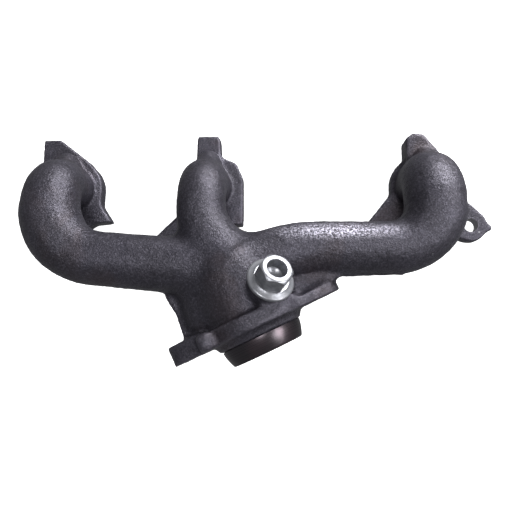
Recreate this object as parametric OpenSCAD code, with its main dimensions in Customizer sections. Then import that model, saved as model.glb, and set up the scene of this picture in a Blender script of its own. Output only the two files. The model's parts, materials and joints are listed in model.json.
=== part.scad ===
// Three-port cast-iron exhaust manifold for one bank of a V6 engine.
//
// The manifold lies on its machined head face, which is the plane Z = 0.
// X runs along the row of ports, Y runs up the side of the head, and Z
// points away from the head. The origin is the centre of the middle port.
//
// The casting is one piece of iron. It is drawn here as its named regions,
// which meet face to face and never overlap, so each stays a simple shape.
// The seat ring, the port plug and its washer are separate pieces.

/* [Ports] */
// Distance from the front port to the middle port
front_spacing = 112; // [106:1:120]
// Distance from the middle port to the rear port
rear_spacing = 164; // [150:1:175]
// Diameter of the gas port in each head flange
port_d = 32; // [28:1:34]
// Thickness of the head flanges
head_flange_t = 11; // [9:0.5:14]
// Radius of the round part of each head flange
head_flange_r = 24.5; // [24:0.5:26]
// Thickness of the rear locating tab, which stands proud of its flange
rear_tab_t = 20; // [16:1:24]

/* [Runners] */
// Outside diameter of the runners and logs
pipe_d = 40; // [38:0.5:42]
// Diameter of the gas passage inside them
passage_d = 31; // [27:0.5:32]
// Height of the log centreline above the head face
log_z = 49; // [46:1:54]
// Bend radius where a runner turns down from its port
drop_r = 22; // [21:0.5:23]
// Bend radius where the front runner turns into its log
front_bend_r = 38.3; // [36:0.1:40]
// Bend radius where the rear runner turns into its log
rear_bend_r = 31.7; // [30:0.1:33]
// Slope of the front log down towards the collector, in degrees
front_log_slope = 5; // [3:0.5:7]

/* [Collector and outlet] */
// Distance of the collector centre behind the middle port
collector_x = 20.5; // [18:0.5:23]
// Outside radius of the collector ball
collector_r = 33; // [32:0.5:34]
// Diameter of the gas passage in the collector and the outlet neck
neck_bore_d = 46; // [42:1:48]
// Slope of the outlet flange against the row of ports, in degrees
outlet_slope = 25.5; // [20:0.5:30]
// Distance from the collector centre to the back of the outlet flange
neck_len = 33.4; // [32:0.2:36]
// Thickness of the outlet flange
outlet_flange_t = 12; // [10:0.5:14]
// Radius of the round middle of the outlet flange
outlet_disc_r = 37; // [35:0.5:39]
// Diameter of the circle through the two stud holes
stud_circle_d = 100; // [96:1:104]
// Diameter of the stud holes
stud_hole_d = 11; // [9:0.5:12]

/* [Seat ring] */
// Height of the raised land that the seat ring stands on
land_h = 5; // [3:0.2:6]
// Radius of the seat ring where it meets the land
seat_root_r = 28.7; // [28:0.1:30]
// Radius of the seat ring at its free end
seat_end_r = 25.4; // [24:0.1:27]
// Length of the seat ring outside the land
seat_len = 11.6; // [10:0.2:14]
// Diameter of the opening through the seat ring
seat_bore_d = 42; // [38:1:44]

/* [Port plug] */
// Outside diameter of the plug's thread
thread_d = 18; // [16:0.5:20]
// Pitch of the plug's thread
thread_pitch = 1.5; // [1:0.25:2]
// Length of the threaded shank under the plug's flange
shank_len = 14; // [12:0.5:16]
// Width of the plug's hexagon across its flats
hex_flats = 19; // [17:0.5:21]
// Height of the top of the hexagon above the underside of the flange
plug_h = 15; // [13:0.5:17]
// Diameter of the plug's flange
plug_flange_d = 29; // [27:0.5:31]
// Tilt of the plug away from square to the head face, in degrees
plug_tilt = 34; // [30:0.5:36]
// Direction in which the plug leans, in degrees from the X axis
plug_lean = 53; // [48:1:58]

/* [Bolt holes] */
// Diameter of the bolt holes through the head flanges
bolt_hole_d = 10.5; // [9:0.5:12]
// Position of the rear lug hole from the rear port
rear_lug = [35.5, -31];
// Position of the front lug hole from the front port
front_lug = [-24, -31];
// Position of the middle ear hole from the middle port
middle_ear = [-36, -46];
// Position of the rear ear hole from the rear port
rear_ear = [-42, -46];

/* [Hidden] */
$fn = 96;

iron = "#4a494f";
dark_steel = "#2c2829";
zinc = "#d5d8d8";

cut = 200;              // longer than anything it cuts
slip = 0.02;            // radial gap of the seat ring in its counterbore
pipe_r = pipe_d / 2;
passage_r = passage_d / 2;
front_x = -front_spacing;
rear_x = rear_spacing;
rear_log_y = -drop_r - rear_bend_r;

// Where the front elbow ends, and its log starts to run down to the collector
front_log_start = [
    front_x + front_bend_r * (1 - sin(front_log_slope)),
    -drop_r - front_bend_r * cos(front_log_slope)
];
front_log_reach = (collector_x - front_log_start.x) / cos(front_log_slope);
collector_y = front_log_start.y - front_log_reach * sin(front_log_slope);
drop_z = log_z - drop_r;            // where a runner starts to bend over
lug_r = 13;                         // outer radius of the rear lug
small_lug_r = 11.5;                 // outer radius of the hidden lugs
lug_t = head_flange_t;

// Where the neighbours of the collector stop
front_arm = 36;                     // length of the collector's arm to the front log
rear_log_end = collector_x + 43.5;
middle_end = -drop_r - 6;
neck_start = 12;
neck_r = 30;
neck_bore_r = neck_bore_d / 2;
ball_bore_r = 25;                   // hollow of the collector ball
web_z = [46, 62];                   // lower and upper face of the two webs
ear_r = 13;                         // outer radius of the stud ears
front_ear_t = 15;
rear_ear_t = 8.5;
land_r = 31.4;
register_r = 25;                    // part of the seat ring sunk in the flange
register_len = 5;

boss_r = 12.5;
boss_reach = 41;                    // seat's distance from the neck's centre
plug_down = 32.3;                   // plug axis along the neck
plug_side = 1.2;                    // and beside it
washer_t = 1.8;
washer_r = 13.2;
thread_clear = 0.05;                // running clearance of the thread
thread_r = thread_d / 2;

// ---- shared shapes --------------------------------------------------------

// Points along an arc of a circle, from one angle to another
function arc(centre, r, from, to, steps = 18) =
    [for (i = [0 : steps]) let (t = from + (to - from) * i / steps) centre + r * [cos(t), sin(t)]];

// Distance from the collector centre to the back of a stud ear
function ear_back(side) = neck_len + outlet_flange_t - (side < 0 ? front_ear_t : rear_ear_t);

// Outline of two circles and the straight sides that touch both of them
module link(a, ra, b, rb) {
    turn = atan2(b.y - a.y, b.x - a.x);
    lean = acos((ra - rb) / norm(b - a));
    polygon(concat(
        arc(a, ra, turn + lean, turn + 360 - lean),
        arc(b, rb, turn - lean, turn + lean)
    ));
}

// Outline of the round body of a head flange, round its port
module flange_body_2d() {
    link([0, 1], head_flange_r, [0, -12], head_flange_r - 0.5);
}

// Straight pipe from the head along Z, then over towards -Y
module drop_pipe(r) {
    translate([0, 0, head_flange_t]) cylinder(h = drop_z - head_flange_t, r = r);
    translate([0, -drop_r, drop_z]) rotate([90, 0, 90])
        rotate_extrude(angle = 90) translate([drop_r, 0]) circle(r);
}

// Quarter bend in the plane of the logs, from -Y towards +X
module flat_bend(bend_r, r, turn) {
    rotate([0, 0, 180]) rotate_extrude(angle = turn) translate([bend_r, 0]) circle(r);
}

// Local Z runs down the outlet, local X along the outlet flange
module at_outlet(down = 0) {
    translate([collector_x, collector_y, log_z])
        rotate([0, 0, outlet_slope])
            rotate([90, 0, 0])
                translate([0, 0, down]) children();
}

// Local Z is the plug's axis, local zero is the boss's seat
module at_plug(out = 0) {
    translate([collector_x, collector_y, log_z])
        rotate([0, 0, outlet_slope]) translate([plug_side, -plug_down, 0])
            rotate([0, 0, -outlet_slope]) rotate([0, plug_tilt, plug_lean])
                translate([0, 0, boss_reach - washer_t + out]) children();
}

// ---- head flanges ---------------------------------------------------------

module head_flange() {
    color(iron) linear_extrude(head_flange_t) difference() {
        flange_body_2d();
        circle(port_d / 2);
    }
}

module front_head_flange() {
    translate([front_x, 0, 0]) head_flange();
}

module middle_head_flange() {
    head_flange();
}

module rear_head_flange() {
    translate([rear_x, 0, 0]) head_flange();
}

// Locating tabs along the upper edge of the head flanges
module front_tab() {
    color(iron) translate([front_x, 0, 0]) linear_extrude(head_flange_t) difference() {
        union() {
            polygon([[-26.5, 0], [-26.5, 43], [-12.5, 43], [14, 22.5], [0, 0]]);
            polygon([[10, -20], [22.5, -10], [33.5, -26.5], [17, -28.5]]);
        }
        flange_body_2d();
    }
}

module middle_tab() {
    color(iron) linear_extrude(head_flange_t) difference() {
        polygon([
            [-13, 10], [-12, 43.5], [7, 43.5], [8.5, 26], [20.5, 21], [26, 8], [26, -30], [0, -30]
        ]);
        flange_body_2d();
    }
}

module rear_tab() {
    color(iron) translate([rear_x, 0, 0]) difference() {
        linear_extrude(rear_tab_t)
            polygon([[-12.5, 0], [-13.5, 36.5], [-6.5, 40.5], [1, 39], [13.3, 23.5], [19.5, 12], [19.5, 0]]);
        translate([0, 0, -1]) linear_extrude(head_flange_t + 1) flange_body_2d();
        translate([0, 0, head_flange_t]) cylinder(h = cut, r = pipe_r);
    }
}

// A lug that reaches from a head flange out to a bolt hole
module lug(port_x, hole, root, root_r, r) {
    translate([port_x, 0, 0]) linear_extrude(lug_t) difference() {
        link(root, root_r, hole, r);
        translate(hole) circle(bolt_hole_d / 2);
        flange_body_2d();
    }
}

module front_lug() {
    color(iron) lug(front_x, front_lug, [-8, -12], 19, small_lug_r);
}

module rear_lug() {
    color(iron) {
        lug(rear_x, rear_lug, [9, -15], 19.5, lug_r);
        translate([rear_x, 0, 0]) linear_extrude(lug_t) difference() {
            translate(rear_lug + [13.7, -2]) circle(3);
            translate(rear_lug) circle(lug_r);
        }
    }
}

module middle_ear_lug() {
    color(iron) lug(0, middle_ear, [-10, -22], 12.5, small_lug_r);
}

module rear_ear_lug() {
    color(iron) lug(rear_x, rear_ear, [-16, -15], 12.5, small_lug_r);
}

// ---- runners and logs -----------------------------------------------------

module runner(x) {
    color(iron) translate([x, 0, 0]) difference() {
        drop_pipe(pipe_r);
        drop_pipe(passage_r);
    }
}

module front_runner() {
    runner(front_x);
}

module rear_runner() {
    runner(rear_x);
}

module middle_runner() {
    color(iron) difference() {
        union() {
            drop_pipe(pipe_r);
            translate([0, -drop_r, log_z]) rotate([90, 0, 0])
                cylinder(h = -drop_r - middle_end, r = pipe_r);
        }
        drop_pipe(passage_r);
        translate([0, -drop_r, log_z]) rotate([90, 0, 0])
            cylinder(h = -drop_r - middle_end, r = passage_r);
    }
}

module front_elbow() {
    color(iron) translate([front_x + front_bend_r, -drop_r, log_z]) difference() {
        flat_bend(front_bend_r, pipe_r, 90 - front_log_slope);
        flat_bend(front_bend_r, passage_r, 90 - front_log_slope);
    }
}

module rear_elbow() {
    color(iron) translate([rear_x - rear_bend_r, -drop_r, log_z]) mirror([1, 0, 0])
        difference() {
            flat_bend(rear_bend_r, pipe_r, 90);
            flat_bend(rear_bend_r, passage_r, 90);
        }
}

// Straight pipe at the height of the logs, from one point to another
module flat_pipe(from, to, r) {
    run = to - from;
    translate([from.x, from.y, log_z]) rotate([0, 90, atan2(run.y, run.x)])
        cylinder(h = norm(run), r = r);
}

module front_log_pipe(reach, r) {
    translate([front_log_start.x, front_log_start.y, log_z])
        rotate([0, 90, -front_log_slope]) cylinder(h = reach, r = r);
}

module front_log() {
    color(iron) difference() {
        front_log_pipe(front_log_reach - front_arm, pipe_r);
        front_log_pipe(front_log_reach - front_arm, passage_r);
    }
}

module rear_log_pipe(r) {
    flat_pipe([rear_log_end, rear_log_y], [rear_x - rear_bend_r, rear_log_y], r);
}

module rear_log() {
    color(iron) difference() {
        rear_log_pipe(pipe_r);
        rear_log_pipe(passage_r);
    }
}

// ---- collector and outlet -------------------------------------------------

// Arm from the collector's centre to the rear log, and past its start by some overrun
module rear_arm(r, over = 0) {
    centre = [collector_x, collector_y];
    difference() {
        flat_pipe(centre, centre + 1.4 * ([rear_log_end, rear_log_y] - centre), r);
        translate([rear_log_end + over, -cut / 2, 0]) cube(cut);
    }
}

// Arm from the collector's centre to the middle runner
module middle_arm(r, over = 0) {
    centre = [collector_x, collector_y];
    difference() {
        flat_pipe(centre, centre + 1.4 * ([0, middle_end] - centre), r);
        translate([-cut / 2, middle_end + over, 0]) cube(cut);
    }
}

// The gas ways through the collector: a ball at its centre and one way along each arm
module collector_ways() {
    translate([collector_x, collector_y, log_z]) {
        rotate([0, 90, 180 - front_log_slope]) cylinder(h = front_arm + 2, r = passage_r);
        sphere(ball_bore_r);
    }
    rear_arm(passage_r, 2);
    middle_arm(passage_r, 2);
    at_outlet() cylinder(h = neck_start + 1, r = neck_bore_r);
}

// Ball where the three streams meet; the outlet neck starts at its flat side
module collector() {
    color(iron) difference() {
        intersection() {
            translate([collector_x, collector_y, log_z]) sphere(collector_r);
            at_outlet(neck_start - cut) cylinder(h = cut, r = cut / 2);
        }
        collector_ways();
    }
}

// Short arms that join the ball to the logs and to the middle runner
module front_log_arm() {
    color(iron) translate([collector_x, collector_y, log_z]) difference() {
        rotate([0, 90, 180 - front_log_slope]) cylinder(h = front_arm, r = pipe_r);
        rotate([0, 90, 180 - front_log_slope]) cylinder(h = front_arm + 2, r = passage_r);
        sphere(collector_r);
    }
}

module middle_runner_arm() {
    color(iron) difference() {
        middle_arm(pipe_r);
        middle_arm(passage_r, 2);
        translate([collector_x, collector_y, log_z]) {
            sphere(collector_r);
            rotate([0, 90, 180 - front_log_slope]) cylinder(h = cut / 2, r = pipe_r);
        }
    }
}

module rear_log_arm() {
    color(iron) difference() {
        rear_arm(pipe_r);
        rear_arm(passage_r, 2);
        translate([collector_x, collector_y, log_z]) sphere(collector_r);
        at_outlet() cylinder(h = neck_len, r = neck_r);
    }
}

// Smooth hole for the plug's thread, through the boss and the neck wall
module plug_hole() {
    at_plug(-boss_reach + 10) cylinder(h = boss_reach, r = thread_r);
}

module outlet_neck() {
    color(iron) difference() {
        at_outlet(neck_start) cylinder(h = neck_len - neck_start, r = neck_r);
        at_outlet(neck_start) cylinder(h = neck_len, r = neck_bore_r);
        rear_arm(passage_r, 2);
        plug_hole();
    }
}

module plug_boss() {
    color(iron) difference() {
        at_plug(-20) cylinder(h = 20, r = boss_r);
        translate([collector_x, collector_y, log_z]) sphere(collector_r);
        at_outlet() cylinder(h = neck_len + 2, r = neck_r);
        at_outlet(neck_len) translate([-cut / 2, -cut / 2, 0]) cube(cut);
        plug_hole();
    }
}

// Flat webs that tie the logs to the outlet flange; the children are what they stop against
module web(outline) {
    color(iron) difference() {
        translate([0, 0, web_z[0]]) linear_extrude(web_z[1] - web_z[0]) polygon(outline);
        translate([collector_x, collector_y, log_z]) sphere(collector_r);
        at_outlet() cylinder(h = neck_len + 2, r = neck_r);
        at_outlet(neck_len) cylinder(h = cut, r = outlet_disc_r);
        children();
    }
}

module front_web() {
    web([[-26.5, -75], [-26.5, -88], [-18, -101], [-12, -118], [12, -118], [12, -75]]) {
        front_log_pipe(front_log_reach, pipe_r);
        at_outlet(ear_back(-1)) linear_extrude(cut) ear_outline(-1);
    }
}

module rear_web() {
    web([[46, -62], [88.5, -62], [88.5, -106], [46, -106]]) {
        rear_arm(pipe_r);
        rear_log_pipe(pipe_r);
        at_outlet(ear_back(1)) translate([-cut / 2, -cut / 2, 0]) cube(cut);
    }
}

// Middle of the outlet flange with the raised land round its opening
module outlet_flange() {
    color(iron) difference() {
        at_outlet(neck_len) {
            cylinder(h = outlet_flange_t, r = outlet_disc_r);
            cylinder(h = outlet_flange_t + land_h, r = land_r);
        }
        at_outlet() cylinder(h = cut, r = neck_bore_r);
        at_outlet(neck_len + outlet_flange_t + land_h - register_len)
            cylinder(h = cut, r = register_r + slip);
        plug_hole();
    }
}

// Ears round the stud holes; side is -1 for the front ear, 1 for the rear ear
module ear_outline(side) {
    link([side * 14, 0], 23, [side * stud_circle_d / 2, 0], ear_r);
}

module stud_ear(side) {
    thick = side < 0 ? front_ear_t : rear_ear_t;
    color(iron) at_outlet(ear_back(side)) linear_extrude(thick) difference() {
        ear_outline(side);
        translate([side * stud_circle_d / 2, 0]) circle(stud_hole_d / 2);
        circle(outlet_disc_r);
    }
}

module front_stud_ear() {
    stud_ear(-1);
}

module rear_stud_ear() {
    stud_ear(1);
}

// Rounded rib on the rim of the outlet flange, beside the front ear
module clamp_rib() {
    color(iron) at_outlet(neck_len) difference() {
        translate([-33, 23, 0]) cylinder(h = outlet_flange_t, r = 6.4);
        translate([0, 0, -1]) cylinder(h = cut, r = outlet_disc_r);
        linear_extrude(cut) ear_outline(-1);
    }
}

// Turned ring with a convex seat, let into the raised land
module seat_ring() {
    face = neck_len + outlet_flange_t + land_h;
    steps = 10;
    fall = seat_root_r - seat_end_r;
    color(dark_steel) at_outlet(face) rotate_extrude() polygon(concat(
        [[seat_bore_d / 2, -register_len], [register_r, -register_len], [register_r, 0]],
        [for (i = [0 : steps]) [seat_root_r - fall * pow(i / steps, 1.6), seat_len * i / steps]],
        [[seat_bore_d / 2, seat_len]]
    ));
}

// ---- port plug ------------------------------------------------------------

module plug_washer() {
    color(zinc) at_plug() difference() {
        cylinder(h = washer_t, r = washer_r);
        cylinder(h = washer_t, r = thread_r + 0.3);
    }
}

// Flanged hexagon plug, hollow in the head, on a threaded shank
module port_plug() {
    flange_t = 2.6;
    skirt_h = 1.6;              // cone between the flange and the hexagon
    chamfer_h = 2.5;            // chamfered top of the hexagon
    crown_r = hex_flats / 2 - 0.1;
    recess_r = 6.4;
    recess_depth = 9;
    color(zinc) at_plug(washer_t) difference() {
        union() {
            cylinder(h = flange_t, r = plug_flange_d / 2);
            translate([0, 0, flange_t])
                cylinder(h = skirt_h, r1 = plug_flange_d / 2 - 1, r2 = hex_flats / 2 + 1.6);
            intersection() {
                cylinder(h = plug_h, r = hex_flats / sqrt(3), $fn = 6);
                union() {
                    cylinder(h = plug_h - chamfer_h, r = hex_flats);
                    translate([0, 0, plug_h - chamfer_h])
                        cylinder(h = chamfer_h, r1 = crown_r + 4.3, r2 = crown_r);
                }
            }
            translate([0, 0, -shank_len])
                cylinder(h = shank_len, r = thread_r - thread_clear);
        }
        translate([0, 0, plug_h - recess_depth]) cylinder(h = recess_depth + 1, r = recess_r);
        translate([0, 0, plug_h - recess_depth - 2]) cylinder(h = 2, r1 = 1, r2 = recess_r);
    }
}

front_head_flange();
middle_head_flange();
rear_head_flange();
front_tab();
middle_tab();
rear_tab();
front_lug();
rear_lug();
middle_ear_lug();
rear_ear_lug();
front_runner();
middle_runner();
rear_runner();
front_elbow();
rear_elbow();
front_log();
rear_log();
collector();
front_log_arm();
middle_runner_arm();
rear_log_arm();
outlet_neck();
front_web();
rear_web();
plug_boss();
outlet_flange();
front_stud_ear();
rear_stud_ear();
clamp_rib();
seat_ring();
plug_washer();
port_plug();
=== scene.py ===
# %% [markdown]
# # A cast-iron exhaust manifold
# This lesson dresses the exhaust manifold of one bank of a V6 engine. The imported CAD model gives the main
# positions; Blender gives the skin: a sand-cast iron body, a turned seat ring, and a zinc-plated plug.
# The casting is one piece of iron on the real engine, so its CAD regions are welded here into one skin.

# %% Load the frame
import json
import math

import bpy
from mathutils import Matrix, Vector


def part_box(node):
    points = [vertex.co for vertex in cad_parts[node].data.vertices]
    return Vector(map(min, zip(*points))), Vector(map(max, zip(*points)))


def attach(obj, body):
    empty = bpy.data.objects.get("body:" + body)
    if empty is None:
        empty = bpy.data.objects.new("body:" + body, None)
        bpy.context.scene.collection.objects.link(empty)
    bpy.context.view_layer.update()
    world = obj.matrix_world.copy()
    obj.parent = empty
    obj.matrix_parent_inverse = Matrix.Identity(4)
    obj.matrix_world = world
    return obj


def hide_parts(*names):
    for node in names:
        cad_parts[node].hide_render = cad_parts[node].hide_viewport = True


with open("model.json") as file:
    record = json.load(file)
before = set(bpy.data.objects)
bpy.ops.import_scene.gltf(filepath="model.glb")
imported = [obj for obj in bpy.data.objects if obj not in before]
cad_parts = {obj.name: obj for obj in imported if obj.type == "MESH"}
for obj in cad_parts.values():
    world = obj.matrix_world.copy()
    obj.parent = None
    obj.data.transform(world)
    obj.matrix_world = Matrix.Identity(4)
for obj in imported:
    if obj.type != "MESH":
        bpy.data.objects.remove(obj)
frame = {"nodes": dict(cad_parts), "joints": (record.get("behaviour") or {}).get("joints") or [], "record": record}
bpy.context.view_layer.update()
MM = 0.001

# %% [markdown]
# ## Where things are
# The mounts of the record say where the ports, the bolt holes and the outlet are. The logs' height and
# the collector's centre follow from the boxes of their CAD nodes. All lengths below are in millimetres,
# because that is how the real part is dimensioned.

# %% Read the places from the frame
mounts = {m["name"]: m for m in frame["record"]["mounts"]}


def middle_of(node):
    low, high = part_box(node)
    return (low + high) / 2 / MM


FRONT_X = mounts["front_port"]["pos_m"][0] / MM
REAR_X = mounts["rear_port"]["pos_m"][0] / MM
LOG_Z = middle_of("front_log").z
REAR_LOG_Y = middle_of("rear_log").y
OUT = Vector(mounts["outlet_opening"]["axis"])
ALONG = Vector((-OUT.y, OUT.x, 0))
RING_END = Vector(mounts["outlet_opening"]["pos_m"]) / MM
RING_END_DOWN = 62.0
COLLECTOR = RING_END - OUT * RING_END_DOWN
joints = {j["name"]: j for j in frame["joints"]}
PLUG_AXIS = Vector(joints["plug_turn"]["axis"]).normalized()
SEAT = Vector(joints["plug_turn"]["pos_m"]) / MM
print("collector centre", [round(v, 1) for v in COLLECTOR], "plug seat", [round(v, 1) for v in SEAT])

# %% [markdown]
# ## Small helpers
# An operator works on whatever is selected, and the CAD nodes come in selected. So one helper clears the
# selection and picks the piece to work on, and another applies a modifier at once, as a hand would.

# %% Helpers for picking and finishing
def pick(*pieces):
    bpy.ops.object.select_all(action="DESELECT")
    for piece in pieces:
        piece.select_set(True)
    bpy.context.view_layer.objects.active = pieces[0]
    return pieces[0]


def finish(piece, kind, **settings):
    pick(piece)
    modifier = piece.modifiers.new(kind.title(), kind)
    for key, value in settings.items():
        setattr(modifier, key, value)
    bpy.ops.object.modifier_apply(modifier=modifier.name)
    return piece


def join(name, pieces):
    whole = pick(*pieces)
    bpy.ops.object.join()
    whole.name = whole.data.name = name
    return whole


def settle(piece):
    pick(piece)
    bpy.ops.object.transform_apply(location=True, rotation=True, scale=True)
    return piece


def size_of(piece):
    return len(piece.data.vertices), len(piece.data.polygons)


bpy.ops.object.select_all(action="DESELECT")
print("frame nodes", len(frame["nodes"]))

# %% [markdown]
# ## The pipes
# The runners and logs are pipes of 40 mm that swell a little at the elbows and towards the collector.
# A curve with a round bevel is the quickest way to such a pipe: each point carries its own radius.
# They are solid rods at first, and the gas passages are cut out of the finished skin later.

# %% Draw rods along centrelines
def arc(centre, start, finish_at, radius, steps=14):
    points = []
    for step in range(steps + 1):
        angle = math.radians(start + (finish_at - start) * step / steps)
        points.append((centre[0] + radius * math.cos(angle), centre[1] + radius * math.sin(angle)))
    return points


def rod(name, points, sides=14):
    bpy.ops.object.select_all(action="DESELECT")
    bpy.ops.curve.primitive_nurbs_path_add(location=(0, 0, 0))
    piece = bpy.context.object
    curve = piece.data
    curve.splines.clear()
    spline = curve.splines.new("POLY")
    spline.points.add(len(points) - 1)
    for at, (x, y, z, radius) in zip(spline.points, points):
        at.co = (x * MM, y * MM, z * MM, 1)
        at.radius = radius
    curve.bevel_depth = MM
    curve.bevel_resolution = sides
    curve.use_fill_caps = True
    pick(piece)
    bpy.ops.object.convert(target="MESH")
    bpy.ops.object.mode_set(mode="EDIT")
    bpy.ops.mesh.select_all(action="SELECT")
    bpy.ops.mesh.remove_doubles(threshold=0.01 * MM)
    bpy.ops.mesh.normals_make_consistent(inside=False)
    bpy.ops.object.mode_set(mode="OBJECT")
    piece.name = piece.data.name = name
    return piece


DROP = 22.0
DROP_Z = LOG_Z - DROP
DIP = -4.0


def drop(x, radii):
    """A runner from its port straight out of the head, then over towards the logs."""
    low, high = radii
    points = [(x, 0, DIP, low), (x, 0, DROP_Z * 0.5, low)]
    for y, z in arc((-DROP, DROP_Z), 0, 90, DROP):
        share = (z - DROP_Z) / DROP
        points.append((x, y, z, low + (high - low) * share))
    return points


FRONT_BEND = 38.3
SLOPE = 5.0
REAR_BEND = 31.7
print("runner drops", DROP, "bends", FRONT_BEND, REAR_BEND)

# %% [markdown]
# ## Three gas streams
# Each stream leaves its port, bends over within 22 mm, and runs to the collector. The radii follow the
# outline of the casting: a slim stub at the port, a fuller elbow, an even log, and a swelling into the
# collector. The CAD's pipes are plain 40 mm ones, so the skin's
# radius is up to 3 mm slimmer or fuller than theirs.
# Four more kinds of rod fill what a founder would fillet: the neck's flank and its foot, which run down to
# the front web, the saddle between the middle runner and the rear log, and a shoulder below each tab.

# %% Rods for the streams and the outlet neck
def flat(points, radii):
    last = len(points) - 1
    out = []
    for index, (x, y) in enumerate(points):
        share = index / last * (len(radii) - 1)
        low = min(int(share), len(radii) - 2)
        out.append((x, y, LOG_Z, radii[low] + (radii[low + 1] - radii[low]) * (share - low)))
    return out


front_elbow = arc((FRONT_X + FRONT_BEND, -DROP), 180, 270 - SLOPE, FRONT_BEND)
elbow_end = Vector(front_elbow[-1])
to_collector = COLLECTOR.xy - elbow_end
front_log = [tuple(elbow_end + to_collector * share) for share in (0.15, 0.3, 0.45, 0.6, 0.75, 0.88, 1.0)]
front_stream = rod("front_stream", (
    drop(FRONT_X, (18.8, 21.4))
    + flat(front_elbow, (22.2, 22.8, 22.4, 20.9, 20.4))
    + flat(front_log, (20.4, 20.6, 21.2, 22.6, 25.0))
))
middle_stream = rod("middle_stream", (
    drop(-1.2, (18.2, 18.4))
    + [(-1, -30, LOG_Z, 18.8), (2, -39, LOG_Z, 19.9), (7.5, -50, LOG_Z, 21.2), (14, -59, LOG_Z, 23.0)]
    + [(COLLECTOR.x, COLLECTOR.y, LOG_Z, 25.5)]
))
rear_elbow = arc((REAR_X - REAR_BEND, -DROP), 0, -90, REAR_BEND)
rear_log = [(118, REAR_LOG_Y), (100, REAR_LOG_Y), (84, REAR_LOG_Y), (70, REAR_LOG_Y - 0.8),
            (57, REAR_LOG_Y - 3.8), (44, REAR_LOG_Y - 8), (32, REAR_LOG_Y - 12), (COLLECTOR.x, COLLECTOR.y)]
rear_stream = rod("rear_stream", (
    drop(REAR_X - 1, (20.6, 22.2))
    + flat(rear_elbow, (22.4, 21.8, 20.6, 19.6, 19.5))
    + flat(rear_log, (19.5, 19.8, 20.6, 21.6, 25.5))
))
neck = rod("outlet_neck_rod", [
    (*(COLLECTOR + OUT * down), radius)
    for down, radius in ((-10, 26.0), (0, 29.5), (12, 30.0), (22, 30.2), (36, 30.4))
], sides=20)
flank = rod("neck_flank", [(-2, -80, 46, 16), (2, -90, 45, 17.5), (6, -100, 44.5, 17.5), (9, -110, 44, 16)])
flank_foot = rod("flank_foot", [
    (-12, -78, 43, 10), (-8, -88, 43, 11), (-4.5, -99, 43, 11.5), (-0.5, -111, 43, 11)])
shoulders = [rod("tab_shoulder", [(x, 27, 12, 8), (x, 16, 18, 12), (x, 4, 25, 16), (x, -8, 32, 18)])
             for x in (FRONT_X - 3, -1, REAR_X + 1)]
saddle = rod("saddle_fillet", [(9, -47, 47, 15), (20, -54, 47, 17), (34, -59, 47, 17), (46, -60, 48, 16)])
print("rods", [size_of(piece) for piece in (front_stream, middle_stream, rear_stream, neck, flank)])

# %% [markdown]
# ## One skin from four rods
# A founder carves the pattern so that the pipes flow into each other. Boolean unions would leave hard
# creases, so the rods are remeshed as one volume and then relaxed: the Smooth modifier melts the creases
# into wide fillets, and leaves the plain pipes almost as they were.

# %% Weld and relax the pipes
pipes = join("pipes", [front_stream, middle_stream, rear_stream, neck, flank, flank_foot, saddle,
                      *shoulders])
finish(pipes, "REMESH", mode="VOXEL", voxel_size=2.0 * MM)
finish(pipes, "SMOOTH", factor=0.5, iterations=26)
print("pipes", size_of(pipes))

# %% [markdown]
# ## Flanges, tabs, lugs, webs and ears
# The flat parts of the casting already have their outline in the CAD model. A copy of each node is
# merged into a closed shell, and joins the skin. The node itself stays as it is. The plates that stand on
# the head are drawn 3 mm too long, because a casting is poured with stock that is milled off later. The
# two webs are trimmed lower than the CAD's, so that the ears and the flange stand proud of them.

# %% Copy the plates and leave milling stock on them
PLATES = ["front_head_flange", "middle_head_flange", "rear_head_flange", "front_tab", "middle_tab",
          "rear_tab", "front_lug", "rear_lug", "middle_ear_lug", "rear_ear_lug"]
OUTLET_PLATES = ["front_web", "rear_web", "plug_boss", "outlet_flange", "front_stud_ear",
                 "rear_stud_ear", "clamp_rib"]
STOCK = 3.0
WEB_TOP = {"front_web": 50.0, "rear_web": 59.0}


def shell_of(node):
    mesh = frame["nodes"][node].data.copy()
    mesh.materials.clear()
    piece = bpy.data.objects.new("cast_" + node, mesh)
    bpy.context.scene.collection.objects.link(piece)
    pick(piece)
    bpy.ops.object.mode_set(mode="EDIT")
    bpy.ops.mesh.select_all(action="SELECT")
    bpy.ops.mesh.remove_doubles(threshold=0.002 * MM)
    bpy.ops.object.mode_set(mode="OBJECT")
    return piece


def select_faces(piece, wanted):
    pick(piece)
    bpy.ops.object.mode_set(mode="EDIT")
    bpy.ops.mesh.select_mode(type="FACE")
    bpy.ops.mesh.select_all(action="DESELECT")
    bpy.ops.object.mode_set(mode="OBJECT")
    count = 0
    for face in piece.data.polygons:
        face.select = wanted(face.center / MM, face.normal)
        count += face.select
    bpy.ops.object.mode_set(mode="EDIT")
    return count


plates = []
for node in PLATES:
    plate = shell_of(node)
    select_faces(plate, lambda at, normal: at.z < 0.05 and normal.z < -0.9)
    bpy.ops.mesh.extrude_region_move(TRANSFORM_OT_translate={"value": (0, 0, -STOCK * MM)})
    bpy.ops.object.mode_set(mode="OBJECT")
    plates.append(plate)
for node in OUTLET_PLATES:
    plate = shell_of(node)
    for vertex in plate.data.vertices:
        vertex.co.z = min(vertex.co.z, WEB_TOP.get(node, 200) * MM)
    plates.append(plate)
print("plates", len(plates))

# %% [markdown]
# ## Blind bosses where holes will be
# Iron is poured solid and drilled afterwards. Each hole in a plate is filled with a short pin, so that
# the drill leaves a crisp edge in a rounded casting.

# %% Fill the drilled holes
def pin(name, at, axis, radius, length, sides=48):
    bpy.ops.object.select_all(action="DESELECT")
    turn = Vector(axis).to_track_quat("Z", "Y").to_euler()
    bpy.ops.mesh.primitive_cylinder_add(
        vertices=sides, radius=radius * MM, depth=length * MM,
        location=Vector(at) * MM, rotation=turn)
    piece = bpy.context.object
    piece.name = piece.data.name = name
    return settle(piece)


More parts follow.
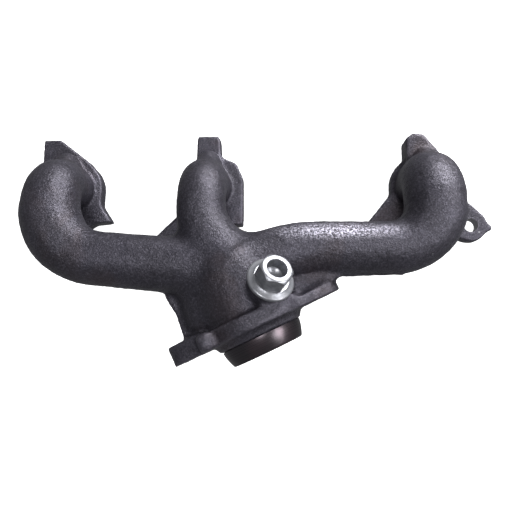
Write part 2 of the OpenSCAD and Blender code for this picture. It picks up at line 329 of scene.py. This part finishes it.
def in_line(mount):
    at = Vector(mounts[mount]["pos_m"]) / MM
    half = mounts[mount]["dims"]["spacing_x_mm"] / 2
    return [at + Vector((side * half, 0, 0)) for side in (-1, 1)]


bolt_holes = in_line("head_bolts_outer") + in_line("head_bolts_inner")
HOLE_R = mounts["head_bolts_outer"]["dims"]["hole_r_mm"]
LUG_T = (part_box("rear_lug")[1].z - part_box("rear_lug")[0].z) / MM
fill = [pin("bolt_fill", at + Vector((0, 0, (LUG_T - STOCK) / 2)), (0, 0, 1), HOLE_R + 2, LUG_T + STOCK)
        for at in bolt_holes]
STUD_R = mounts["outlet_studs"]["dims"]["hole_r_mm"]
stud_line = Vector(mounts["outlet_studs"]["pos_m"]) / MM
stud_out = mounts["outlet_studs"]["dims"]["pcd_mm"] / 2
stud_holes = [stud_line + ALONG * side * stud_out for side in (-1, 1)]
ear_thickness = (15.0, 8.5)
for at, thick in zip(stud_holes, ear_thickness):
    fill.append(pin("stud_fill", at - OUT * thick / 2, OUT, STUD_R + 2, thick))
FLANGE_DOWN = (stud_line - COLLECTOR).dot(OUT)
LAND = 5.0
fill.append(pin("outlet_fill", COLLECTOR + OUT * (FLANGE_DOWN - 4), OUT, 27, 2 * LAND + 12))
print("filled", len(fill), "outlet flange face at", round(FLANGE_DOWN, 2), "lug", round(LUG_T, 2))

# %% [markdown]
# ## Marks of the mould
# Two halves of a sand mould never meet perfectly. A fin of iron stays along the parting line under the
# rear log, a lump remains beside the front ear where a gate was cut off, and a raised line crosses the
# rear ear.

# %% Fin, gate lump and ear ridge
def slab(name, at, size, turn=0.0, rounding=1.0):
    bpy.ops.object.select_all(action="DESELECT")
    bpy.ops.mesh.primitive_cube_add(size=1, location=Vector(at) * MM, rotation=(0, 0, math.radians(turn)))
    piece = bpy.context.object
    piece.name = piece.data.name = name
    piece.scale = Vector(size) * MM
    settle(piece)
    return finish(piece, "BEVEL", width=rounding * MM, segments=3)


OUTLET_TURN = math.degrees(math.atan2(ALONG.y, ALONG.x))
fin = slab("parting_fin", (115, REAR_LOG_Y - 17.6, LOG_Z + 1.5), (50, 5, 3.2), turn=1.5, rounding=1.0)
fin_end = slab("fin_end", (93, REAR_LOG_Y - 18.8, LOG_Z + 4), (7, 6, 9), turn=12, rounding=1.6)
lump = slab("gate_lump", COLLECTOR + ALONG * -33 + OUT * (FLANGE_DOWN - 6.5) + Vector((0, 0, 21)),
            (12.5, 13.5, 19), turn=OUTLET_TURN, rounding=5.0)
ridge = slab("ear_ridge", COLLECTOR + ALONG * 44.3 + OUT * 40.8 + Vector((0, 0, 11)),
             (1.7, 7.5, 9.5), turn=OUTLET_TURN, rounding=0.5)
marks = [fin, fin_end, lump, ridge]
print("marks", [piece.name for piece in marks])

# %% [markdown]
# ## The whole casting
# The plates are rounded a little on their own first. Then the relaxed pipes, the plates and the marks
# become one skin in a finer remesh, and a light smooth takes the sharpness off every edge, as sand does.
# Two Displace modifiers then push the surface in,
# never out, so the casting stays inside its true size: slow waves first, then the bite of the sand.

# %% Weld, round and roughen
cast_plates = join("cast_plates", plates)
finish(cast_plates, "REMESH", mode="VOXEL", voxel_size=1.5 * MM)
finish(cast_plates, "SMOOTH", factor=0.5, iterations=4)
casting = join("iron_casting", [pipes, cast_plates, *fill, *marks])
FINE = 1.35
finish(casting, "REMESH", mode="VOXEL", voxel_size=FINE * MM)
finish(casting, "SMOOTH", factor=0.5, iterations=2)
print("welded", size_of(casting))


def bite(piece, name, grain, depth):
    pattern = bpy.data.textures.new(name, "CLOUDS")
    pattern.noise_scale = grain * MM
    pattern.noise_depth = 2
    return finish(piece, "DISPLACE", texture=pattern, strength=depth * MM, mid_level=1.0,
                  texture_coords="LOCAL")


bite(casting, "mould_waves", 9.0, 0.55)
bite(casting, "sand_bite", 2.6, 0.5)
print("roughened", size_of(casting))

# %% [markdown]
# ## Drilling, boring and milling
# Everything a machine shop does to the raw casting happens in one place: the head face is milled flat,
# the ports, bolt holes and plug hole are drilled, and the gas passages are opened. Each cutter is a
# plain solid, and a Boolean modifier takes it away from the skin.

# %% Cut the passages and the machined faces
SOLVER = "MANIFOLD"


def cut_away(piece, cutter):
    finish(piece, "BOOLEAN", operation="DIFFERENCE", solver=SOLVER, object=cutter)
    bpy.data.objects.remove(cutter)


PASSAGE_R = 15.5
MIDDLE_PASSAGE_R = 14.5     # the middle runner's skin is slimmer, so its passage is too
SPOT_FACE_R = 16.2
BALL_BORE_R, NECK_BORE_R, REGISTER_R = 25.0, 23.0, 25.0
RING_REGISTER = 5.0
port_r = mounts["front_port"]["dims"]["r_mm"]
land_down = FLANGE_DOWN + LAND
cutters = []


def slim(points, radius=PASSAGE_R):
    return [(x, y, z, radius) for x, y, z, old in points]


cutters.append(rod("front_passage", slim(
    drop(FRONT_X, (1, 1)) + flat(front_elbow, (1, 1)) + flat(front_log, (1, 1))), sides=8))
cutters.append(rod("middle_passage", slim(
    drop(-1, (1, 1)) + [(3, -39, LOG_Z, 1), (14, -59, LOG_Z, 1), (COLLECTOR.x, COLLECTOR.y, LOG_Z, 1)],
    radius=MIDDLE_PASSAGE_R), sides=8))
cutters.append(rod("rear_passage", slim(
    drop(REAR_X, (1, 1)) + flat(rear_elbow, (1, 1)) + flat(rear_log, (1, 1))), sides=8))
bpy.ops.object.select_all(action="DESELECT")
bpy.ops.mesh.primitive_uv_sphere_add(segments=48, ring_count=24, radius=BALL_BORE_R * MM,
                                     location=COLLECTOR * MM)
cutters.append(settle(bpy.context.object))
cutters.append(pin("neck_bore", COLLECTOR + OUT * 40, OUT, NECK_BORE_R, 80, sides=72))
cutters.append(pin("register_bore", COLLECTOR + OUT * (land_down - RING_REGISTER + 10), OUT,
                   REGISTER_R, 20, sides=96))
cutters.append(pin("land_face", COLLECTOR + OUT * (land_down + 10), OUT, 45, 20, sides=64))
for x in (FRONT_X, 0, REAR_X):
    cutters.append(pin("port_drill", (x, 0, 0), (0, 0, 1), port_r, 22, sides=72))
for at in bolt_holes:
    cutters.append(pin("bolt_drill", at + Vector((0, 0, 5)), (0, 0, 1), HOLE_R, 30, sides=40))
for at, thick in zip(stud_holes, ear_thickness):
    cutters.append(pin("stud_drill", at - OUT * (thick - 4) / 2, OUT, STUD_R, thick + 4, sides=40))
cutters.append(pin("plug_drill", SEAT - PLUG_AXIS * 15, PLUG_AXIS, 9.0, 40, sides=64))
cutters.append(pin("seat_face", SEAT + PLUG_AXIS * 6, PLUG_AXIS, SPOT_FACE_R, 12, sides=64))
stock = slab("head_mill", (30, -20, -25), (600, 400, 50), rounding=0.5)
cutters.append(stock)
for cutter in cutters:
    cut_away(casting, cutter)
print("machined", size_of(casting))

# %% [markdown]
# ## The seat ring
# A turned steel ring is pressed into the outlet. Its convex outside is the seat of the downpipe's flare.
# A turned part is one profile spun round its axis, which is just what a lathe does.

# %% Spin the seat ring
def turned(name, profile, at, axis, steps=128):
    """Spins a closed profile of (radius, height) points round an axis."""
    bpy.ops.object.select_all(action="DESELECT")
    bpy.ops.mesh.primitive_circle_add(vertices=len(profile), radius=MM, location=(0, 0, 0))
    piece = bpy.context.object
    for vertex, (radius, height) in zip(piece.data.vertices, profile):
        vertex.co = (radius * MM, 0, height * MM)
    bpy.ops.object.mode_set(mode="EDIT")
    bpy.ops.mesh.select_all(action="SELECT")
    bpy.ops.mesh.spin(steps=steps, angle=math.tau, center=(0, 0, 0), axis=(0, 0, 1))
    bpy.ops.mesh.select_all(action="SELECT")
    bpy.ops.mesh.remove_doubles(threshold=0.001 * MM)
    bpy.ops.mesh.delete_loose(use_faces=False)
    bpy.ops.mesh.select_all(action="SELECT")
    bpy.ops.mesh.normals_make_consistent(inside=False)
    bpy.ops.object.mode_set(mode="OBJECT")
    piece.rotation_euler = Vector(axis).to_track_quat("Z", "Y").to_euler()
    piece.location = Vector(at) * MM
    piece.name = piece.data.name = name
    settle(piece)
    bpy.ops.object.shade_smooth_by_angle(angle=math.radians(28))
    return piece


SEAT_BORE_R = mounts["outlet_opening"]["dims"]["r_mm"]
SEAT_ROOT_R, SEAT_TIP_R, SEAT_LEN = 28.7, 25.4, 11.6
REGISTER_FIT = 24.95


def seat_profile():
    outside = [(SEAT_ROOT_R - (SEAT_ROOT_R - SEAT_TIP_R) * (step / 14) ** 1.6, SEAT_LEN * step / 14)
               for step in range(15)]
    outside[-1] = (SEAT_TIP_R - 0.35, SEAT_LEN)
    outside.insert(-1, (SEAT_TIP_R + 0.05, SEAT_LEN - 0.4))
    inside = [(SEAT_BORE_R + 0.6, SEAT_LEN), (SEAT_BORE_R, SEAT_LEN - 0.6),
              (SEAT_BORE_R, -RING_REGISTER), (REGISTER_FIT, -RING_REGISTER), (REGISTER_FIT, 0.02)]
    return outside[:1] + outside[1:] + inside


ring = turned("turned_seat_ring", seat_profile(), COLLECTOR + OUT * land_down, OUT)
print("ring", size_of(ring))

# %% [markdown]
# ## The port plug and its washer
# A flanged hexagon plug closes a threaded port in the collector. The flange and shank are turned, the
# hexagon is a six-sided bar whose corners a lathe has chamfered, and the recess saves weight.
# The thread is real here: the shank's rings of points are pushed in along a helix of 1.5 mm pitch.
# The flange is 31.2 mm wide and the hexagon 19.8 mm, a little fuller than the CAD's 29 mm and 19 mm.
# The washer's top is 0.03 mm low, so that the plug's flange turns just clear of it.

# %% Build the washer and the plug
WASHER_T, WASHER_R = 1.8, 13.2
WASHER_TOP = WASHER_T - 0.03
PLUG_H, PLUG_FLANGE_R, HEX_FLATS = 15.0, 15.6, 19.8
THREAD_R, PITCH, SHANK = 8.95, 1.5, 14.0
washer = turned("plug_sealing_washer", [
    (9.4, 0.25), (9.65, 0.0), (WASHER_R - 0.5, 0.0), (WASHER_R, 0.5), (WASHER_R, WASHER_TOP - 0.5),
    (WASHER_R - 0.5, WASHER_TOP), (9.65, WASHER_TOP), (9.4, WASHER_TOP - 0.25)], SEAT, PLUG_AXIS, steps=96)

flange_part = turned("plug_flange", [
    (0.0, 0.0), (PLUG_FLANGE_R - 0.4, 0.0), (PLUG_FLANGE_R, 0.35), (PLUG_FLANGE_R, 1.7),
    (PLUG_FLANGE_R - 0.35, 2.2), (PLUG_FLANGE_R - 1.0, 2.55), (PLUG_FLANGE_R - 3.0, 3.0),
    (PLUG_FLANGE_R - 4.1, 3.9), (0.0, 4.3)], (0, 0, 0), (0, 0, 1), steps=96)
bpy.ops.object.select_all(action="DESELECT")
bpy.ops.mesh.primitive_cylinder_add(vertices=6, radius=HEX_FLATS / math.sqrt(3) * MM, depth=PLUG_H * MM,
                                    location=(0, 0, PLUG_H / 2 * MM))
hexagon = settle(bpy.context.object)
finish(hexagon, "BEVEL", width=0.35 * MM, segments=2)
chamfer = turned("chamfer_tool", [
    (0.0, 0.5), (11.4, 0.5), (11.4, PLUG_H - 1.9), (11.0, PLUG_H - 1.35), (10.1, PLUG_H - 0.5),
    (9.3, PLUG_H - 0.05), (8.9, PLUG_H), (0.0, PLUG_H)], (0, 0, 0), (0, 0, 1), steps=72)
finish(hexagon, "BOOLEAN", operation="INTERSECT", solver="EXACT", object=chamfer)
bpy.data.objects.remove(chamfer)
recess = turned("recess_tool", [
    (0.0, 4.4), (2.0, 4.5), (5.6, 6.1), (6.35, 6.9), (6.4, PLUG_H - 0.8), (7.0, PLUG_H + 0.2),
    (7.0, PLUG_H + 2), (0.0, PLUG_H + 2)], (0, 0, 0), (0, 0, 1), steps=72)

bpy.ops.object.select_all(action="DESELECT")
bpy.ops.mesh.primitive_cylinder_add(vertices=72, radius=THREAD_R * MM, depth=(SHANK + 1) * MM,
                                    location=(0, 0, (1 - SHANK) / 2 * MM))
shank = settle(bpy.context.object)
bpy.ops.object.mode_set(mode="EDIT")
bpy.ops.mesh.select_mode(type="EDGE")
bpy.ops.mesh.select_all(action="DESELECT")
bpy.ops.object.mode_set(mode="OBJECT")
for edge in shank.data.edges:
    a, b = (shank.data.vertices[i].co for i in edge.vertices)
    edge.select = abs(a.z - b.z) > 1 * MM
bpy.ops.object.mode_set(mode="EDIT")
bpy.ops.mesh.subdivide(number_cuts=83)
bpy.ops.object.mode_set(mode="OBJECT")
THREAD_DEPTH = 0.92
for vertex in shank.data.vertices:
    x, y, z = vertex.co / MM
    if math.hypot(x, y) < THREAD_R - 0.5:
        continue
    turn = (z / PITCH - math.atan2(y, x) / math.tau) % 1.0
    tooth = abs(2 * turn - 1)
    depth = THREAD_DEPTH * min(1.0, max(0.0, 1.25 * tooth - 0.12))
    runout = min(1.0, max(0.0, (-z - 1.2) / 0.8))
    lead = 0.9 * max(0.0, (-z - SHANK + 1.0))
    share = (THREAD_R - depth * runout - lead) / THREAD_R
    vertex.co.x *= share
    vertex.co.y *= share
finish(hexagon, "BOOLEAN", operation="UNION", solver="EXACT", object=flange_part)
finish(hexagon, "BOOLEAN", operation="DIFFERENCE", solver="EXACT", object=recess)
finish(shank, "BOOLEAN", operation="UNION", solver="EXACT", object=hexagon)
for used in (hexagon, flange_part, recess):
    bpy.data.objects.remove(used)
plug = shank
plug.name = plug.data.name = "hexagon_port_plug"
plug.rotation_mode = "QUATERNION"
plug.rotation_quaternion = PLUG_AXIS.to_track_quat("Z", "Y")
plug.location = (SEAT + PLUG_AXIS * WASHER_T) * MM
settle(plug)
bpy.ops.object.shade_smooth_by_angle(angle=math.radians(30))
print("plug", size_of(plug), "washer", size_of(washer))

# %% [markdown]
# ## Materials: one helper
# Colours are written as sRGB hex, as a painter reads them, and turned to linear by one function. Another
# small function adds a node with its settings and links. Patterns read Object coordinates, which are
# metres here, so a scale of 1000 divided by a size in millimetres gives a pattern of that size.

# %% Helpers for materials
def linear(hex_colour, alpha=True):
    channels = [int(hex_colour[i:i + 2], 16) / 255 for i in (1, 3, 5)]
    out = [c / 12.92 if c <= 0.04045 else ((c + 0.055) / 1.055) ** 2.4 for c in channels]
    return (*out, 1.0) if alpha else tuple(out)


def per_mm(size):
    return 1000.0 / size


def new_material(name):
    material = bpy.data.materials.new(name)
    material.use_nodes = True
    tree = material.node_tree
    return material, tree, tree.nodes["Principled BSDF"]


def node(tree, kind, settings=None, links=None, values=None):
    made = tree.nodes.new(kind)
    for key, value in (settings or {}).items():
        setattr(made, key, value)
    for key, value in (values or {}).items():
        made.inputs[key].default_value = value
    for key, source in (links or {}).items():
        tree.links.new(source, made.inputs[key])
    return made


def ramp(tree, factor, stops, kind="LINEAR"):
    made = node(tree, "ShaderNodeValToRGB", links={"Fac": factor})
    made.color_ramp.interpolation = kind
    elements = made.color_ramp.elements
    while len(elements) < len(stops):
        elements.new(0.5)
    for element, (position, colour) in zip(elements, stops):
        element.position = position
        element.color = linear(colour) if isinstance(colour, str) else (colour, colour, colour, 1)
    return made.outputs["Color"]


print("1 mm is a scale of", per_mm(1.0))

# %% [markdown]
# ## Sand-cast grey iron
# Raw grey iron leaves the sand with a thin charcoal oxide that is a little violet, a pebbled skin of sand
# grains about half a millimetre across, faint rusty patches, and bright scuffs where crests were rubbed.
# The grain is drawn 1.3 mm wide here, because the true grit is too fine to show at this distance. One
# long patch on the upper side of the rear log carries a painted highlight of silvery flecks.

# %% Sand-cast iron
def sand_cast_iron():
    material, tree, shader = new_material("sand_cast_grey_iron")
    where = node(tree, "ShaderNodeTexCoord").outputs["Object"]

    def cloud(size, detail=3.0, roughness=0.55, distortion=0.0):
        return node(tree, "ShaderNodeTexNoise", links={"Vector": where},
                    values={"Scale": per_mm(size), "Detail": detail, "Roughness": roughness,
                            "Distortion": distortion}).outputs["Fac"]

    patches = cloud(38.0, detail=4.0)
    mottle = cloud(6.0, detail=5.0, roughness=0.7)
    grain = cloud(1.3, detail=3.0, roughness=0.7)
    rust_field = cloud(52.0, detail=3.0, distortion=0.4)
    body = ramp(tree, patches, [(0.3, "#312f36"), (0.5, "#3c3a43"), (0.7, "#474550")])
    speck = ramp(tree, grain, [(0.32, "#1b1a1e"), (0.5, "#3c3a41"), (0.7, "#75727e")])
    mixed = node(tree, "ShaderNodeMix", {"data_type": "RGBA"}, values={"Factor": 0.4})
    tree.links.new(body, mixed.inputs["A"])
    tree.links.new(speck, mixed.inputs["B"])
    rust_share = ramp(tree, rust_field, [(0.55, 0.0), (0.72, 0.3)])
    rusty = node(tree, "ShaderNodeMix", {"data_type": "RGBA"}, links={"Factor": rust_share})
    tree.links.new(mixed.outputs["Result"], rusty.inputs["A"])
    rusty.inputs["B"].default_value = linear("#4a3833")
    edge = node(tree, "ShaderNodeNewGeometry").outputs["Pointiness"]
    rub = ramp(tree, edge, [(0.5, 0.0), (0.58, 0.5)])
    scuffed = node(tree, "ShaderNodeMix", {"data_type": "RGBA"}, links={"Factor": rub})
    tree.links.new(rusty.outputs["Result"], scuffed.inputs["A"])
    scuffed.inputs["B"].default_value = linear("#77747f")
    # Painted highlight: a silvery patch on the upper side of the rear log stands in for the shine of the key light
    # there.
    centre, reach = (0.09, -0.043, 0.064), (0.052, 0.0085, 0.016)    # the painted highlight patch, in metres
    local = node(tree, "ShaderNodeVectorMath", {"operation": "SUBTRACT"}, links={0: where},
                 values={1: centre}).outputs["Vector"]
    scaled = node(tree, "ShaderNodeVectorMath", {"operation": "DIVIDE"}, links={0: local},
                  values={1: reach}).outputs["Vector"]
    away = node(tree, "ShaderNodeVectorMath", {"operation": "LENGTH"}, links={0: scaled}).outputs["Value"]
    painted_highlight_near = ramp(tree, away, [(0.35, 1.0), (1.0, 0.0)])
    painted_highlight_flecks = ramp(tree, grain, [(0.44, 0.0), (0.62, 0.9)])
    painted_highlight_share = node(tree, "ShaderNodeMath", {"operation": "MULTIPLY"},
                        links={0: painted_highlight_near, 1: painted_highlight_flecks}).outputs["Value"]
    # The pale colour mixed in below is the painted highlight, laid on as silvery flecks.
    painted_highlight_mix = node(tree, "ShaderNodeMix", {"data_type": "RGBA"}, links={"Factor": painted_highlight_share})
    tree.links.new(scuffed.outputs["Result"], painted_highlight_mix.inputs["A"])
    painted_highlight_mix.inputs["B"].default_value = linear("#b9b6c4")
    tree.links.new(painted_highlight_mix.outputs["Result"], shader.inputs["Base Color"])
    gloss = ramp(tree, mottle, [(0.3, 0.5), (0.7, 0.3)])
    tree.links.new(gloss, shader.inputs["Roughness"])
    shader.inputs["Metallic"].default_value = 0.6
    coarse = node(tree, "ShaderNodeBump", links={"Height": mottle},
                  values={"Strength": 0.5, "Distance": 0.9 * MM})
    fine = node(tree, "ShaderNodeBump", links={"Height": grain, "Normal": coarse.outputs["Normal"]},
                values={"Strength": 0.75, "Distance": 0.6 * MM})
    tree.links.new(fine.outputs["Normal"], shader.inputs["Normal"])
    return material


iron = sand_cast_iron()
print("material", iron.name)

# %% [markdown]
# ## Milled iron
# Where a cutter has been, grey iron is a lighter, cooler grey with fine straight feed marks. It shows on
# the head face, in the port mouths and in the drilled holes.

# %% Milled iron
def milled_iron():
    material, tree, shader = new_material("milled_grey_iron")
    where = node(tree, "ShaderNodeTexCoord").outputs["Object"]
    stretched = node(tree, "ShaderNodeMapping", links={"Vector": where},
                     values={"Scale": (0.08, 1.0, 1.0)}).outputs["Vector"]
    marks = node(tree, "ShaderNodeTexNoise", links={"Vector": stretched},
                 values={"Scale": per_mm(0.9), "Detail": 2.0, "Roughness": 0.6}).outputs["Fac"]
    tone = ramp(tree, marks, [(0.3, "#77767a"), (0.7, "#96959a")])
    tree.links.new(tone, shader.inputs["Base Color"])
    shader.inputs["Metallic"].default_value = 0.9
    shader.inputs["Roughness"].default_value = 0.38
    bump = node(tree, "ShaderNodeBump", links={"Height": marks},
                values={"Strength": 0.25, "Distance": 0.1 * MM})
    tree.links.new(bump.outputs["Normal"], shader.inputs["Normal"])
    return material


milled = milled_iron()
print("material", milled.name)

# %% [markdown]
# ## Turned, heat-tinted steel
# The seat ring is turned steel that has been oiled and tinted by heat, nearly black, with tool rings
# round its axis. The rings are 0.45 mm apart here, coarser than a real feed of 0.15 mm, so that they show.

# %% Turned steel
def turned_steel(name, axis, dark, light, tint, ring_mm, rough):
    material, tree, shader = new_material(name)
    where = node(tree, "ShaderNodeTexCoord").outputs["Object"]
    along = node(tree, "ShaderNodeVectorMath", {"operation": "DOT_PRODUCT"}, links={0: where},
                 values={1: axis}).outputs["Value"]
    stacked = node(tree, "ShaderNodeCombineXYZ", links={"X": along}).outputs["Vector"]
    rings = node(tree, "ShaderNodeTexNoise", {"noise_dimensions": "3D"}, links={"Vector": stacked},
                 values={"Scale": per_mm(ring_mm), "Detail": 3.0, "Roughness": 0.7}).outputs["Fac"]
    bloom = node(tree, "ShaderNodeTexNoise", links={"Vector": where},
                 values={"Scale": per_mm(22.0), "Detail": 2.0}).outputs["Fac"]
    tone = ramp(tree, rings, [(0.3, dark), (0.7, light)])
    warm = ramp(tree, bloom, [(0.42, 0.0), (0.68, 0.5)])
    tinted = node(tree, "ShaderNodeMix", {"data_type": "RGBA"}, links={"Factor": warm})
    tree.links.new(tone, tinted.inputs["A"])
    tinted.inputs["B"].default_value = linear(tint)
    tree.links.new(tinted.outputs["Result"], shader.inputs["Base Color"])
    shader.inputs["Metallic"].default_value = 1.0
    gloss = ramp(tree, rings, [(0.3, rough - 0.06), (0.7, rough + 0.08)])
    tree.links.new(gloss, shader.inputs["Roughness"])
    bump = node(tree, "ShaderNodeBump", links={"Height": rings},
                values={"Strength": 0.3, "Distance": 0.12 * MM})
    tree.links.new(bump.outputs["Normal"], shader.inputs["Normal"])
    return material


ring_steel = turned_steel("heat_tinted_turned_steel", OUT, "#39373a", "#5a565a", "#62545a", 0.45, 0.3)
print("material", ring_steel.name)

# %% [markdown]
# ## Bright zinc plate
# The plug is steel with a bright zinc plating: pale grey, slightly cloudy, with soft reflections. The
# washer has the same plating, dulled. Fine pits keep the plating from looking like chrome.

# %% Zinc plate
def zinc_plate(name, pale, deep, rough):
    material, tree, shader = new_material(name)
    where = node(tree, "ShaderNodeTexCoord").outputs["Object"]
    cloudy = node(tree, "ShaderNodeTexNoise", links={"Vector": where},
                  values={"Scale": per_mm(5.0), "Detail": 4.0, "Roughness": 0.6}).outputs["Fac"]
    pits = node(tree, "ShaderNodeTexNoise", links={"Vector": where},
                values={"Scale": per_mm(0.7), "Detail": 2.0}).outputs["Fac"]
    tone = ramp(tree, cloudy, [(0.3, deep), (0.65, pale)])
    tree.links.new(tone, shader.inputs["Base Color"])
    shader.inputs["Metallic"].default_value = 0.7
    gloss = ramp(tree, cloudy, [(0.3, rough + 0.08), (0.7, rough - 0.05)])
    tree.links.new(gloss, shader.inputs["Roughness"])
    bump = node(tree, "ShaderNodeBump", links={"Height": pits},
                values={"Strength": 0.15, "Distance": 0.08 * MM})
    tree.links.new(bump.outputs["Normal"], shader.inputs["Normal"])
    return material


bright_zinc = zinc_plate("bright_zinc_plate", "#96979c", "#74757b", 0.36)
dull_zinc = zinc_plate("dull_zinc_plate", "#a9aaae", "#8b8c90", 0.42)
print("materials", bright_zinc.name, dull_zinc.name)

# %% [markdown]
# ## Dress the pieces
# The casting has two finishes, so its faces are sorted by place: a face on the milled plane, in a port
# mouth or in a drilled hole takes the milled iron, and all others keep the sand-cast skin.

# %% Give each face its finish
def in_bore(at, centre, axis, radius, reach):
    off = at - centre
    along = off.dot(axis)
    return abs(along) < reach and (off - axis * along).length < radius + 0.06


UP = Vector((0, 0, 1))
bores = [(Vector((x, 0, 0)), UP, port_r, 11.3) for x in (FRONT_X, 0, REAR_X)]
bores += [(at, UP, HOLE_R, 14.0) for at in bolt_holes]
bores += [(at, OUT, STUD_R, 16.0) for at in stud_holes]
bores += [(SEAT, PLUG_AXIS, 9.0, 30.0)]
casting.data.materials.clear()
casting.data.materials.append(iron)
casting.data.materials.append(milled)
machined = 0
for face in casting.data.polygons:
    at = face.center / MM
    on_plane = at.z < 0.02
    on_land = abs((at - COLLECTOR).dot(OUT) - land_down) < 0.02
    on_seat = abs((at - SEAT).dot(PLUG_AXIS)) < 0.02 and (at - SEAT).length < 16.5
    face.material_index = int(on_plane or on_land or on_seat or any(in_bore(at, *bore) for bore in bores))
    machined += face.material_index
pick(casting)
bpy.ops.object.shade_smooth_by_angle(angle=math.radians(42))
for piece, material in ((ring, ring_steel), (washer, dull_zinc), (plug, bright_zinc)):
    piece.data.materials.clear()
    piece.data.materials.append(material)
print("machined faces", machined, "of", len(casting.data.polygons))

# %% [markdown]
# ## Ride and replace
# Each piece rides on the CAD body it belongs to, and hides the CAD nodes that it stands for, which stay
# in the physics model.

# %% Tie the pieces to the frame
CASTING_NODES = [n for n in frame["record"]["behaviour"]["bodies"]["casting"] if n != "seat_ring"]
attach(casting, "casting")
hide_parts(*CASTING_NODES)
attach(ring, "casting")
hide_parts("seat_ring")
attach(washer, "washer")
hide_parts("plug_washer")
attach(plug, "plug")
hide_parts("port_plug")
print("casting stands for", len(CASTING_NODES), "nodes")

# %% [markdown]
# ## Floor, light and camera
# The part lies on its milled face on a plain white floor that glows evenly, like a light table, so it
# takes no shadow. The floor is hidden from the part's own lighting, so the undersides stay dark.

# %% Floor
bpy.ops.object.select_all(action="DESELECT")
bpy.ops.mesh.primitive_plane_add(size=8, location=(0, 0, 0))
floor = bpy.context.object
floor.name = "studio_floor"
floor_paint, floor_tree, floor_shader = new_material("white_floor_paint")
floor_shader.inputs["Base Color"].default_value = linear("#f6f6f6")
floor_shader.inputs["Roughness"].default_value = 0.9
floor_shader.inputs["Emission Color"].default_value = linear("#ffffff")
floor_shader.inputs["Emission Strength"].default_value = 1.0
floor.data.materials.append(floor_paint)
floor.visible_diffuse = False
floor.visible_glossy = False
print("floor", floor.name)

# %% [markdown]
# ## Soft light
# A wide, low softbox behind the part lights the upper sides of the logs. A second one on the right lifts
# the rear elbow, and a small one overhead draws the highlight along the seat ring and the plug.

# %% Lights
def softbox(name, at, aim, size, watts, colour="#ffffff"):
    bpy.ops.object.light_add(type="AREA", location=at)
    lamp = bpy.context.object
    lamp.name = name
    lamp.data.shape = "RECTANGLE"
    lamp.data.size, lamp.data.size_y = size
    lamp.data.energy = watts
    lamp.data.color = linear(colour, alpha=False)
    lamp.rotation_mode = "QUATERNION"
    lamp.rotation_quaternion = (Vector(aim) - Vector(at)).to_track_quat("-Z", "Y")
    return lamp


TARGET = Vector((0.03, -0.05, 0.03))
softbox("key_softbox", (0.8, 1.2, 0.5), TARGET, (1.1, 0.4), 40)
softbox("side_softbox", (1.2, -0.1, 0.9), TARGET, (0.6, 0.6), 12)
softbox("top_softbox", (0.05, -0.05, 1.6), TARGET, (0.3, 0.3), 9)
world = bpy.data.worlds.new("studio_room")
bpy.context.scene.world = world
world.use_nodes = True
room = world.node_tree
sky = room.nodes["Background"]
sky.inputs["Color"].default_value = linear("#f4f5f8")
sky.inputs["Strength"].default_value = 0.26

# %% [markdown]
# ## Camera
# The camera looks almost straight down on the part, from 0.42 m above the head face and a little to the
# outlet's side.

# %% Camera
CAMERA_AT = Vector((0.0619, -0.1068, 0.424))
LOOK = Vector((-0.0641, 0.1283, -0.9897))
LENS_MM, SENSOR_MM = 38.1176, 36.0
bpy.ops.object.camera_add(location=CAMERA_AT)
camera = bpy.context.object
camera.rotation_mode = "QUATERNION"
camera.rotation_quaternion = Vector((0, 0, -1)).rotation_difference(LOOK)
camera.data.sensor_width = SENSOR_MM
camera.data.lens = LENS_MM
camera.data.clip_start, camera.data.clip_end = 0.01, 20
scene = bpy.context.scene
scene.camera = camera
scene.view_settings.view_transform = "Standard"
print("camera lens", round(camera.data.lens, 2))

# %% Finish
bpy.context.view_layer.update()
